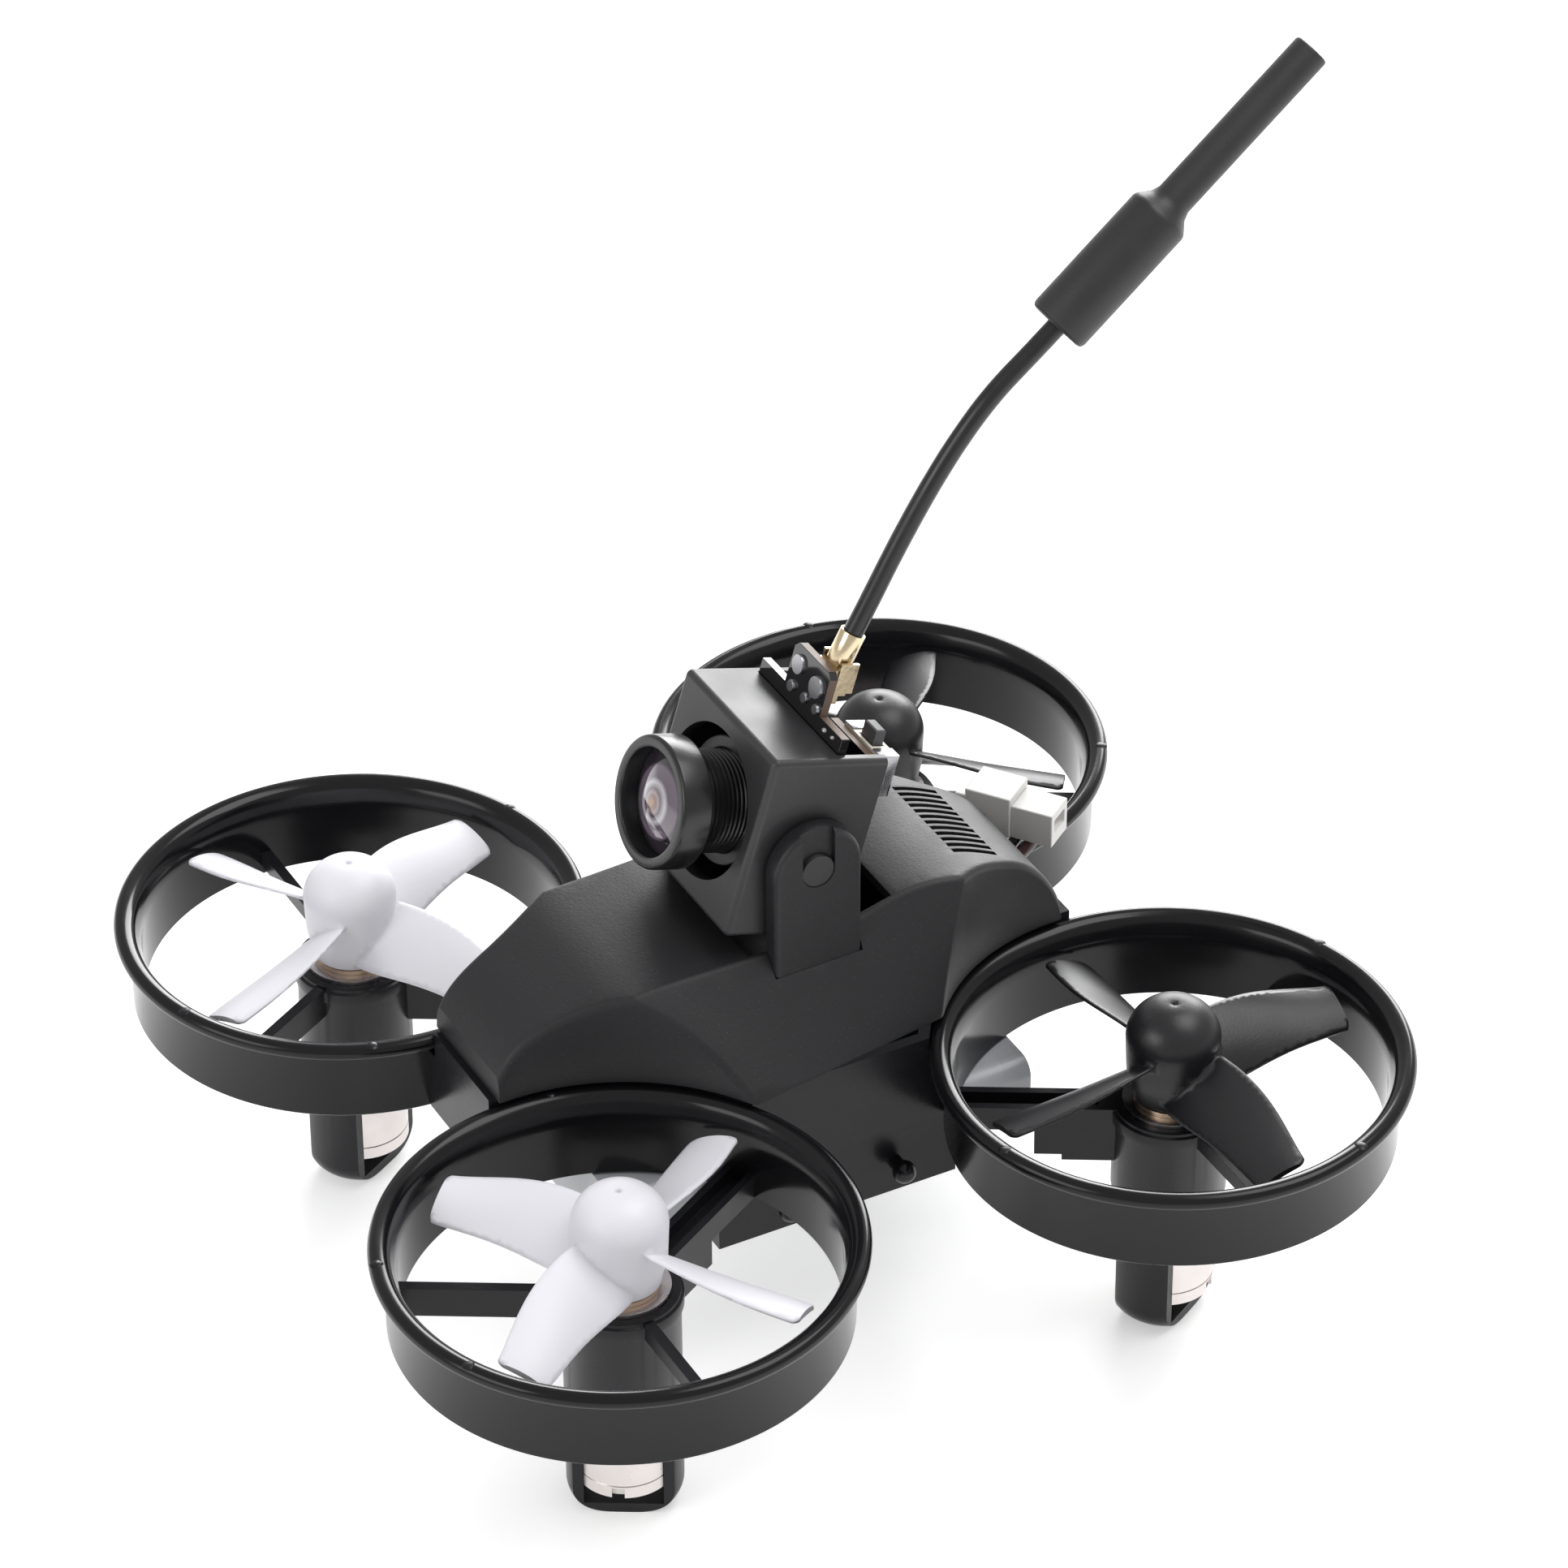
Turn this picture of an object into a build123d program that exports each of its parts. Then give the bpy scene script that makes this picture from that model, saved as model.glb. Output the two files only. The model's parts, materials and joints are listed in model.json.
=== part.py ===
from build123d import *
import math
import os

os.makedirs("parts", exist_ok=True)

# A palm-sized first-person-view racing drone with four ducted propellers.
# Millimetres. +Z is up, -Y is the nose, +X is the drone's left hand side.
# The origin is on the ground under the middle of the four ducts.

# ---- driving dimensions ----------------------------------------------------
LIP_Z = 28.2            # height of the ducts' rolled lips above the ground
DUCT_X, DUCT_Y = 26.25, 26.75   # duct centres, either side of the middle
LIP_R = 21.0            # outer radius of the rolled lip
DUCT_OUT_R = 19.7       # outer radius of the duct wall
DUCT_IN_R = 18.6        # inner radius of the duct wall
DUCT_DEPTH = 8.2        # duct height, lip to lower edge
POD_R = 5.05            # outer radius of a motor pod
MOTOR_R = 4.25          # radius of the motor can
MOTOR_TOP, MOTOR_BOTTOM = LIP_Z - 5.2, LIP_Z - 25.2
POD_TOP = LIP_Z - 5.6
TUBE_BOTTOM = LIP_Z - 14.5      # the pod's full tube ends here, its strap goes on
FOOT_T = 1.0            # thickness of the strap's foot
STRAP_W = 5.2
ARM_ANGLE, STRAP_ANGLE = 120, 240       # of the front left pod, about its centre
SHAFT_R = 0.5
PROP_R = 17.2           # propeller tip radius
HUB_R = 4.15
BLADE_T = 0.55
# radius, pitch in degrees, chord, lead of the middle of the chord, its height over the lip
BLADE_STATIONS = [(2.2, 43, 6.6, 0.0, -1.6), (5.0, 39, 7.0, 0.5, -1.5), (8.5, 33, 6.6, 1.2, -1.5),
                  (12.5, 26, 5.7, 1.6, -1.8), (17.6, 20, 4.6, 1.8, -2.3)]
SCALLOP_R = 20.1        # radius of the canopy's hollows round the ducts
SHELL_T = 1.0           # canopy and frame wall
TRAY_X, TRAY_Y = 15.1, 11.7     # half width and half length of the battery tray
TRAY_DEPTH = 7.2
BELT_Z = LIP_Z - DUCT_DEPTH     # underside of the frame between the ducts
TILT = 17.1             # the camera looks up by this much
PIVOT = (0.0, 0.7, LIP_Z + 17.6)
CAM_HALF_W = 8.2
EAR_IN_X, EAR_OUT_X = 8.6, 10.4
PIN_R = 1.5
COAX_R = 0.9            # radius of the aerial's coaxial lead

# name: (x side, y side, turn of the propeller, way it spins)
CORNERS = {
    "front_left": (1, -1, 41, -1),
    "front_right": (-1, -1, 19, 1),
    "rear_left": (1, 1, 86, 1),
    "rear_right": (-1, 1, 56, -1),
}


def save(shape, node):
    shape.label = node
    print(node, round(shape.volume, 2), flush=True)
    export_step(shape, f"parts/{node}.step")


def block(x0, x1, y0, y1, z0, z1):
    size = (x1 - x0, y1 - y0, z1 - z0)
    return Pos((x0 + x1) / 2, (y0 + y1) / 2, (z0 + z1) / 2) * Box(*size)


def rod(r, z0, z1, x=0.0, y=0.0):
    return Pos(x, y, (z0 + z1) / 2) * Cylinder(r, z1 - z0)


def lying_rod(r, x0, x1, y, z):
    """A round bar along X."""
    return Pos((x0 + x1) / 2, y, z) * Rot(0, 90, 0) * Cylinder(r, abs(x1 - x0))


def group(solids):
    return Compound(children=list(solids))


# ---- ducts -----------------------------------------------------------------
def duct_ring():
    """Wall with a lip rolled outwards and a bell mouth, about the Z axis."""
    low, top = LIP_Z - DUCT_DEPTH, LIP_Z
    outline = (
        Polyline((DUCT_IN_R, low), (DUCT_OUT_R, low), (DUCT_OUT_R, top - 2.0))
        + ThreePointArc((DUCT_OUT_R, top - 2.0), (19.95, top - 1.55), (20.45, top - 1.45))
        + ThreePointArc((20.45, top - 1.45), (LIP_R, top - 0.85), (20.35, top))
        + ThreePointArc((20.35, top), (19.6, top - 0.2), (19.05, top - 0.95))
        + Polyline((19.05, top - 0.95), (18.8, top - 1.15), (DUCT_IN_R, top - 2.6), (DUCT_IN_R, low))
    )
    return revolve(Plane.XZ * make_face(outline), Axis.Z)


# ---- motor pods ------------------------------------------------------------
def spoke(angle, width, z_low, z_top):
    bar = block(POD_R - 0.3, DUCT_IN_R + 0.5, -width / 2, width / 2, z_low, z_top)
    return Rot(0, 0, angle) * bar


def motor_pod():
    """The front left pod: tube, U-shaped strap, two thin spokes and the arm."""
    bore_r = MOTOR_R + 0.03
    outline = (
        Line((0, 0), (POD_R - 2.4, 0))
        + ThreePointArc((POD_R - 2.4, 0), (POD_R - 0.703, 0.703), (POD_R, 2.4))
        + Polyline((POD_R, 2.4), (POD_R, POD_TOP - 1.6), (POD_R + 0.25, POD_TOP - 1.5), (POD_R + 0.25, POD_TOP - 0.4),
                   (POD_R, POD_TOP - 0.3), (POD_R, POD_TOP), (0, POD_TOP), (0, 0))
    )
    pod = revolve(Plane.XZ * make_face(outline), Axis.Z)
    for side in (-1, 1):
        y0, y1 = sorted((side * STRAP_W / 2, side * 9))
        pod -= Rot(0, 0, STRAP_ANGLE) * block(-9, 9, y0, y1, -1, TUBE_BOTTOM)
    spoke_top = LIP_Z - 5.75
    pod += spoke(ARM_ANGLE - 120, 1.0, spoke_top - 1.5, spoke_top)
    pod += spoke(ARM_ANGLE + 120, 1.0, spoke_top - 2.9, spoke_top)
    arm = spoke(ARM_ANGLE, 3.0, LIP_Z - DUCT_DEPTH + 0.1, spoke_top)
    clip = block(POD_R - 0.3, 11.8, -1.5, 1.5, LIP_Z - 11.3, LIP_Z - DUCT_DEPTH + 0.2)
    clip -= block(9.4, 12, -2, 2, LIP_Z - 12, LIP_Z - 10.7)
    channel = block(POD_R + 1.2, DUCT_IN_R + 1, -0.8, 0.8, spoke_top - 1.2, LIP_Z)
    pod += arm + Rot(0, 0, ARM_ANGLE) * clip
    pod -= Rot(0, 0, ARM_ANGLE) * channel
    return (pod - rod(bore_r, FOOT_T, LIP_Z)) & rod(DUCT_IN_R, -1, LIP_Z)


# ---- motors ----------------------------------------------------------------
def motor_can():
    can = rod(MOTOR_R, MOTOR_BOTTOM, MOTOR_TOP) - rod(MOTOR_R - 0.35, MOTOR_BOTTOM - 1, MOTOR_TOP - 0.4)
    can -= rod(1.6, MOTOR_TOP - 1, MOTOR_TOP + 1)
    groove = rod(MOTOR_R + 1, MOTOR_BOTTOM + 1.15, MOTOR_BOTTOM + 1.3) - rod(
        MOTOR_R - 0.08, MOTOR_BOTTOM, MOTOR_BOTTOM + 2)
    notch = Rot(0, 0, -35) * block(MOTOR_R - 1, MOTOR_R + 1, -0.55, 0.55, MOTOR_BOTTOM - 1, MOTOR_BOTTOM + 1.0)
    return can - groove - notch


def motor_end_cap():
    z = MOTOR_BOTTOM
    cap = rod(MOTOR_R - 0.36, z + 0.15, z + 2.0) - rod(0.55, z, z + 3)
    tabs = [block(s * 1.6 - 0.35, s * 1.6 + 0.35, -0.15, 0.15, z - 0.75, z + 0.3) for s in (-1, 1)]
    return cap + tabs[0] + tabs[1]


def motor_bush():
    """Bronze nose bush that carries the shaft and the magnet."""
    z = MOTOR_TOP
    return rod(1.59, z - 2.4, z - 0.4) + rod(3.3, z + 0.02, z + 0.45) + rod(1.59, z - 0.41, z + 0.03) - rod(
        SHAFT_R + 0.05, z - 5, z + 3)


def motor_magnet():
    z = MOTOR_TOP
    return rod(2.35, z - 12.0, z - 2.41) - rod(SHAFT_R + 0.25, z - 13, z)


def motor_rotor():
    """Cup-shaped coil with its end disc and commutator."""
    z = MOTOR_TOP
    coil = rod(3.45, z - 13.6, z - 1.2) - rod(2.75, z - 13.0, z)
    commutator = rod(1.3, z - 15.4, z - 13.5)
    return coil + commutator - rod(SHAFT_R, z - 16, z)


def motor_shaft():
    return rod(SHAFT_R, MOTOR_BOTTOM + 0.8, LIP_Z + 0.6)


# ---- propellers ------------------------------------------------------------
def blade_section(hand, radius, pitch, chord, lead, height):
    """Thin cambered bar across the blade, seen along the radius."""
    plane = Plane(origin=(radius, hand * lead, LIP_Z + height), x_dir=(0, 1, 0), z_dir=(1, 0, 0))
    rise, edge = 0.06 * chord, 0.12
    half = chord / 2
    upper = ThreePointArc((-half, edge), (0, rise + BLADE_T / 2), (half, edge))
    nose = Line((half, edge), (half, -edge))
    lower = ThreePointArc((half, -edge), (0, rise - BLADE_T / 2), (-half, -edge))
    tail = Line((-half, -edge), (-half, edge))
    return plane * Rot(0, 0, hand * pitch) * make_face(upper + nose + lower + tail)


def propeller(hand):
    """Domed hub with four broad swept blades; hand 1 turns anticlockwise."""
    hub_low, shoulder, crown = LIP_Z - 4.5, LIP_Z + 1.4, LIP_Z + 4.7
    outline = (
        Polyline((0, hub_low), (HUB_R - 0.7, hub_low), (HUB_R - 0.15, LIP_Z - 2.0), (HUB_R, shoulder))
        + ThreePointArc((HUB_R, shoulder), (2.9, LIP_Z + 3.9), (0, crown))
        + Line((0, crown), (0, hub_low))
    )
    hub = revolve(Plane.XZ * make_face(outline), Axis.Z)
    blade = loft([blade_section(hand, *station) for station in BLADE_STATIONS])
    plan = Polyline((2.0, -6), (10, -4.2), (PROP_R, -0.4), (PROP_R, 3.95), (10, 5.4), (2.0, 6), close=True)
    plan = make_face(plan)
    plan = fillet([v for v in plan.vertices() if v.X > PROP_R - 0.1], 0.9)
    plan = plan if hand > 0 else mirror(plan, about=Plane.XZ)
    blade = blade & Pos(0, 0, LIP_Z - 8) * extrude(plan, 16, dir=(0, 0, 1))
    rotor = hub
    for k in range(4):
        rotor += Rot(0, 0, 90 * k) * blade
    rotor -= rod(SHAFT_R, hub_low - 1, LIP_Z + 0.6)
    return rotor - rod(0.22, LIP_Z + 3.2, crown + 1)


def at_corner(shape, sx, sy):
    """Moves a front left shape to a corner, mirrored or turned round to suit it."""
    if sx * sy > 0:
        shape = mirror(shape, about=Plane.YZ)
    if sy > 0:
        shape = Rot(0, 0, 180) * shape
    return Pos(sx * DUCT_X, sy * DUCT_Y, 0) * shape


each_corner = {
    "duct_ring": duct_ring(),
    "motor_pod": motor_pod(),
    "motor_can": motor_can(),
    "motor_end_cap": motor_end_cap(),
    "motor_rotor": motor_rotor(),
    "motor_shaft": motor_shaft(),
}
propellers = {hand: propeller(hand) for hand in (-1, 1)}
for name, (sx, sy, prop_turn, hand) in CORNERS.items():
    for node, shape in each_corner.items():
        save(at_corner(shape, sx, sy), f"{node}_{name}")
    save(Pos(sx * DUCT_X, sy * DUCT_Y, 0) * Rot(0, 0, prop_turn) * propellers[hand], f"propeller_{name}")
save(group([at_corner(motor_magnet(), sx, sy) for sx, sy, *_ in CORNERS.values()]), "motor_magnets")
save(group([at_corner(motor_bush(), sx, sy) for sx, sy, *_ in CORNERS.values()]), "motor_bushes")


# ---- frame tray ------------------------------------------------------------
def corner_rods(r, z0, z1):
    return [rod(r, z0, z1, sx * DUCT_X, sy * DUCT_Y) for sx in (-1, 1) for sy in (-1, 1)]


BELT_TOP = LIP_Z + 0.5
CONTROL_Z = BELT_Z + 3.0        # underside of the flight controller
SCREW_SPOTS = [(-10.5, 0), (10.5, 0), (0, -13), (0, 13)]
NECK_X, NECK_Y = 15.6, 28.6     # reach of the frame between the ducts


def frame_tray():
    belt = block(-NECK_X, NECK_X, -NECK_Y, NECK_Y, BELT_Z, BELT_TOP)
    for cut in corner_rods(DUCT_OUT_R, BELT_Z - 1, LIP_Z - 1.4):
        belt -= cut
    for cut in corner_rods(LIP_R + 0.02, LIP_Z - 2.1, BELT_TOP + 1):
        belt -= cut
    hollow = block(-NECK_X + 1, NECK_X - 1, -NECK_Y + 1, NECK_Y - 1, BELT_Z + 1, BELT_TOP + 1)
    for cut in corner_rods(LIP_R + 1.0, BELT_Z, BELT_TOP + 2):
        hollow -= cut
    belt -= hollow
    tray_low = BELT_Z - TRAY_DEPTH
    tray = block(-TRAY_X, TRAY_X, -TRAY_Y, TRAY_Y, tray_low, BELT_Z)
    tray -= block(-13.1, 13.1, -TRAY_Y - 1, TRAY_Y + 1, tray_low + 0.7, BELT_Z)
    tray -= block(-8.5, 8.5, -6.5, 6.5, tray_low - 1, tray_low + 1)
    tray = fillet(tray.edges().filter_by(Axis.Z).group_by(Axis.X)[0], 0.5)
    frame = belt + tray
    for x, y in SCREW_SPOTS:
        frame += rod(1.2, BELT_Z + 0.5, CONTROL_Z, x, y)
        frame -= rod(0.6, BELT_Z + 1.1, CONTROL_Z + 1, x, y)
    for side in (-1, 1):
        for peg_y in (-5.6, 5.6):
            neck = lying_rod(0.65, side * (TRAY_X - 0.5), side * (TRAY_X + 1.4), peg_y, LIP_Z - 12.2)
            ball = Pos(side * (TRAY_X + 1.7), peg_y, LIP_Z - 12.2) * Sphere(1.05)
            frame = frame + neck + ball
    return frame


save(frame_tray(), "frame_tray")


# ---- canopy ----------------------------------------------------------------
# Heights over the lips of the hood, the sides of the camera bay and the tail.
TOP_LINE = [(-27.9, 3.0), (-25.4, 5.9), (-22.5, 7.4), (-20.0, 8.35), (-17.5, 9.05), (-13.0, 9.4), (-4.0, 9.6),
            (5.0, 10.3), (9.0, 11.3), (14.0, 11.6), (17.4, 10.9), (20.6, 9.5), (23.3, 7.95), (24.8, 6.6),
            (26.1, 4.9), (27.1, 2.9)]
CANOPY_LOW = LIP_Z + 0.5
BAY_FRONT, BAY_REAR = -5.2, 8.7


def side_x(y, z_over):
    """Outer half width of the canopy: steep at the tail, sloping at the nose."""
    low, high = 15.75 - 0.175 * y, 6.93 + 0.141 * y
    return low + (high - low) * z_over / 13.0


def canopy_solid(inset):
    profile_top = Spline(*[(y * (1 - inset / 28), LIP_Z + z - inset) for y, z in TOP_LINE])
    first, last = profile_top @ 0, profile_top @ 1
    low = CANOPY_LOW - (3 if inset else 0)
    side = profile_top + Polyline((last.X, last.Y), (last.X + 0.25, low), (first.X - 0.05, low),
                                  (first.X, first.Y))
    body = extrude(Plane.YZ * make_face(side), 24, both=True)
    sections = []
    for y in (-31.0, 31.0):
        x_low, x_high = side_x(y, -4.0) - inset, side_x(y, 14.0) - inset
        section = Polyline((-x_low, LIP_Z - 4), (x_low, LIP_Z - 4), (x_high, LIP_Z + 14), (-x_high, LIP_Z + 14),
                           close=True)
        plane = Plane(origin=(0, y, 0), x_dir=(1, 0, 0), z_dir=(0, -1, 0))
        sections.append(plane * make_face(section))
    wedge = loft(sections, ruled=True)
    body = body & wedge
    for cut in corner_rods(SCALLOP_R + inset, LIP_Z - 10, LIP_Z + 20):
        body -= cut
    return body


def canopy_top_edges(body):
    return [e for e in body.edges() if e.center().Z > LIP_Z + 3.2 and abs(e.center().X) > 4]


def canopy():
    outer = canopy_solid(0.0)
    shell = fillet(canopy_top_edges(outer), 0.8) - canopy_solid(SHELL_T)
    shell -= block(-EAR_IN_X, EAR_IN_X, BAY_FRONT, BAY_REAR, LIP_Z + 5, LIP_Z + 20)
    for k in range(12):
        x = -5.3 + k * 0.96
        shell -= block(x - 0.29, x + 0.29, 16.6, 21.0, LIP_Z + 6, LIP_Z + 14)
    for side in (-1, 1):
        ear_gap = block(EAR_IN_X - 0.04, EAR_OUT_X + 0.04, -3.54, 4.94, LIP_Z + 3.5, LIP_Z + 14)
        shell -= ear_gap if side > 0 else mirror(ear_gap, about=Plane.YZ)
    return shell - block(-5.2, -0.7, 24.5, 29, CANOPY_LOW - 1, LIP_Z + 2.4)


save(canopy(), "canopy")


# ---- camera yoke -----------------------------------------------------------
def camera_yoke():
    ear_r, ear_mid = 4.2, PIVOT[1]
    yoke = block(-EAR_OUT_X, EAR_OUT_X, ear_mid - ear_r, ear_mid + ear_r, LIP_Z + 3.6, LIP_Z + 4.8)
    for side in (-1, 1):
        x0, x1 = sorted((side * EAR_IN_X, side * EAR_OUT_X))
        ear = block(x0, x1, ear_mid - ear_r, ear_mid + ear_r, LIP_Z + 3.6, PIVOT[2])
        ear = ear + lying_rod(ear_r, x0, x1, ear_mid, PIVOT[2])
        outer_face = ear.faces().sort_by(Axis.X)[-1 if side > 0 else 0]
        rim = [e for e in outer_face.edges() if e.center().Z > LIP_Z + 5]
        ear = fillet(rim, 0.5)
        r = PIN_R + 0.05
        x2, x3 = sorted((side * (EAR_OUT_X - 0.6), side * (EAR_OUT_X + 1)))
        groove = block(x2, x3, ear_mid - r, ear_mid + r, PIVOT[2], PIVOT[2] + 9)
        yoke = yoke + (ear - groove - lying_rod(r, x0 - 1, x1 + 1, ear_mid, PIVOT[2]))
    return yoke


save(camera_yoke(), "camera_yoke")


# ---- camera head -----------------------------------------------------------
# Drawn level, with the pivot at the origin, and then tilted up into its yoke.
AXIS_Z = 1.1            # height of the lens over the pivot
FRONT_Y, REAR_Y = -6.0, 5.4
CAM_LOW, CAM_HIGH = -7.7, 9.6
BOARD_Y, BOARD_T = 0.8, 0.8
LENS_FRONT_Y = -11.7
LENS_HOLE_R = 6.8


def in_yoke(shape):
    return Pos(*PIVOT) * Rot(-TILT, 0, 0) * shape


def facing(r, y0, y1, x=0.0, z=AXIS_Z):
    """A round bar along the line of sight."""
    return Pos(x, (y0 + y1) / 2, z) * Rot(90, 0, 0) * Cylinder(r, abs(y1 - y0))


def camera_housing():
    shell = block(-CAM_HALF_W, CAM_HALF_W, FRONT_Y, REAR_Y, CAM_LOW, CAM_HIGH)
    front_edges = [e for e in shell.edges() if abs(e.center().Y - FRONT_Y) < 0.01]
    side_edges = shell.edges().filter_by(Axis.Y)
    shell = fillet(front_edges + list(side_edges), 0.6)
    shell -= block(-7.2, 7.2, FRONT_Y + 1.3, REAR_Y + 1, CAM_LOW + 1.0, CAM_HIGH - 1.0)
    shell -= block(-7.2, 7.2, 0.7, REAR_Y + 1, CAM_LOW + 2, CAM_HIGH + 1)
    shell -= facing(LENS_HOLE_R, FRONT_Y - 1, FRONT_Y + 2)
    shell -= lying_rod(PIN_R - 0.5, -12, 12, 0, 0)
    return shell


def pivot_pins():
    pins = []
    for side in (-1, 1):
        x0, x1 = sorted((side * CAM_HALF_W, side * (EAR_OUT_X - 0.12)))
        stub = lying_rod(PIN_R, x0, x1, 0, 0)
        x0, x1 = sorted((side * 7.3, side * (CAM_HALF_W + 0.5)))
        pins.append(stub + lying_rod(PIN_R - 0.5, x0, x1, 0, 0))
    return group(pins)


def camera_board():
    board = block(-7.1, 7.1, BOARD_Y, BOARD_Y + BOARD_T, CAM_LOW + 1.1, 11.0)
    tab = block(-3.1, 3.1, BOARD_Y, BOARD_Y + BOARD_T, 10.5, 15.0)
    tab = chamfer(tab.edges().filter_by(Axis.Y).group_by(Axis.Z)[-1], 0.5)
    return board + tab


def lens_holder():
    base = block(-6.0, 6.0, BOARD_Y - 2.2, BOARD_Y, AXIS_Z - 6.0, AXIS_Z + 6.0)
    tube = facing(5.6, BOARD_Y - 5.2, BOARD_Y - 2.0)
    return base + tube - facing(4.55, BOARD_Y - 9, BOARD_Y - 0.9) - block(
        -2.6, 2.6, BOARD_Y - 2, BOARD_Y + 1, AXIS_Z - 2.6, AXIS_Z + 2.6)


def lens_barrel():
    """Front ring and barrel round a stepped light baffle."""
    back, shoulder = BOARD_Y - 1.3, LENS_FRONT_Y + 3.0
    ring = facing(5.8, LENS_FRONT_Y, shoulder)
    ring = chamfer(ring.edges().filter_by(GeomType.CIRCLE), 0.25)
    barrel = ring + facing(4.5, shoulder - 0.1, back)
    barrel -= facing(4.7, LENS_FRONT_Y - 1, LENS_FRONT_Y + 1.0)
    barrel -= facing(4.0, LENS_FRONT_Y - 1, LENS_FRONT_Y + 3.4)
    barrel -= facing(2.6, LENS_FRONT_Y - 1, back + 1)
    return barrel


def dome(r, sag, y_edge, thickness):
    """A lens blank whose crown faces the viewer, with its rim at y_edge."""
    big = (r * r + sag * sag) / (2 * sag)
    cap = Pos(0, y_edge - sag + big, AXIS_Z) * Sphere(big) & facing(r, y_edge - sag - 1, y_edge)
    return cap + facing(r, y_edge - 0.01, y_edge + thickness)


def board_parts():
    """Image sensor, chips and solder joints."""
    back = BOARD_Y + BOARD_T
    chips = [block(-2.4, 2.4, BOARD_Y - 0.85, BOARD_Y, AXIS_Z - 2.4, AXIS_Z + 2.4),
             block(-5.6, -1.0, back, back + 0.9, -4.0, 0.6), block(1.6, 5.4, back, back + 0.7, -5.2, -2.4),
             block(-5.8, -2.4, back, back + 1.1, 4.4, 7.4)]
    front_pads = [(-1.7, 13.4, 0.9), (1.6, 13.0, 1.0), (-1.9, 11.2, 0.55), (0.4, 11.3, 0.5), (2.4, 11.3, 0.5)]
    for x, z, size in front_pads:
        pad = Pos(x, BOARD_Y, z) * Sphere(size)
        chips.append(pad & block(-9, 9, BOARD_Y - 0.28, BOARD_Y, 0, 16))
    return group(chips)


BUTTON_Y = 5.2          # rear face of the button's small board


def button_board():
    return block(-0.2, 7.1, BUTTON_Y - 0.8, BUTTON_Y, 3.2, 8.9)


def board_spacers():
    y0, y1 = BOARD_Y + BOARD_T, BUTTON_Y - 0.8
    return group([block(0.2, 1.4, y0, y1, 4.6, 7.4), block(5.9, 6.9, y0, y1, 4.6, 7.4)])


def button_body():
    body = block(1.0, 7.0, BUTTON_Y, BUTTON_Y + 1.9, 5.4, 9.2)
    return body - block(2.85, 5.15, BUTTON_Y + 0.35, BUTTON_Y + 1.55, 7.3, 10)


def button_cap():
    cap = block(3.0, 5.0, BUTTON_Y + 0.45, BUTTON_Y + 1.45, 7.9, 10.6)
    return chamfer(cap.edges().group_by(Axis.Z)[-1], 0.12)


SOCKET_X, SOCKET_Z = 0.8, 13.7
CRIMP_BASE = (SOCKET_X, BOARD_Y + BOARD_T + 1.3, SOCKET_Z + 1.9)
CRIMP_LENGTH, CRIMP_LEAN = 2.4, 12.0


def aerial_socket():
    back = BOARD_Y + BOARD_T
    base = block(SOCKET_X - 1.4, SOCKET_X + 1.4, back, back + 0.35, SOCKET_Z - 1.5, SOCKET_Z + 1.2)
    return base + facing(0.95, back + 0.3, back + 1.0, SOCKET_X, SOCKET_Z)


def aerial_plug():
    """Gold cap over the socket, side clips and a crimp sleeve for the lead."""
    back = BOARD_Y + BOARD_T + 0.4
    body = block(SOCKET_X - 1.3, SOCKET_X + 1.3, back, back + 1.5, SOCKET_Z - 1.3, SOCKET_Z + 1.3)
    body -= facing(1.02, back - 1, back + 0.8, SOCKET_X, SOCKET_Z)
    toe = block(SOCKET_X - 0.9, SOCKET_X + 0.9, back + 0.2, back + 1.1, SOCKET_Z - 2.3, SOCKET_Z - 1.2)
    neck = block(SOCKET_X - 0.75, SOCKET_X + 0.75, back + 0.3, back + 1.3, SOCKET_Z + 1.2, SOCKET_Z + 2.2)
    wings = [block(SOCKET_X + s * 1.45 - 0.15, SOCKET_X + s * 1.45 + 0.15, back + 0.1, back + 1.9,
                   SOCKET_Z - 0.9, SOCKET_Z + 1.9) for s in (-1, 1)]
    plug = body + toe + neck + wings[0] + wings[1]
    crimp = rod(1.15, -0.4, CRIMP_LENGTH) - rod(COAX_R + 0.03, CRIMP_LENGTH - 1.1, CRIMP_LENGTH + 1)
    return plug + Pos(*CRIMP_BASE) * Rot(-CRIMP_LEAN, 0, 0) * crimp


for shape, node in (
    (camera_housing(), "camera_housing"),
    (pivot_pins(), "camera_pivot_pins"),
    (camera_board(), "camera_board"),
    (lens_holder(), "lens_holder"),
    (lens_barrel(), "lens_barrel"),
    (dome(4.0, 1.5, LENS_FRONT_Y + 2.7, 0.7), "lens_front_glass"),
    (dome(2.6, 0.5, -4.0, 1.0), "lens_inner_glass"),
    (board_parts(), "camera_board_parts"),
    (board_spacers(), "button_board_spacers"),
    (button_board(), "button_board"),
    (button_body(), "channel_button_body"),
    (button_cap(), "channel_button_cap"),
    (aerial_socket(), "aerial_socket"),
    (aerial_plug(), "aerial_plug"),
):
    save(in_yoke(shape), node)


# ---- aerial ----------------------------------------------------------------
# The stiff coaxial lead leaves the plug's crimp, leans back in one slow curve
# and ends in a stepped sleeve over the radiating element.
def tilted_point(x, y, z):
    a = math.radians(TILT)
    return (x, PIVOT[1] + y * math.cos(a) + z * math.sin(a), PIVOT[2] - y * math.sin(a) + z * math.cos(a))


def crimp_point(along):
    a = math.radians(CRIMP_LEAN)
    x, y, z = CRIMP_BASE
    return tilted_point(x, y + along * math.sin(a), z + along * math.cos(a))


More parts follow.
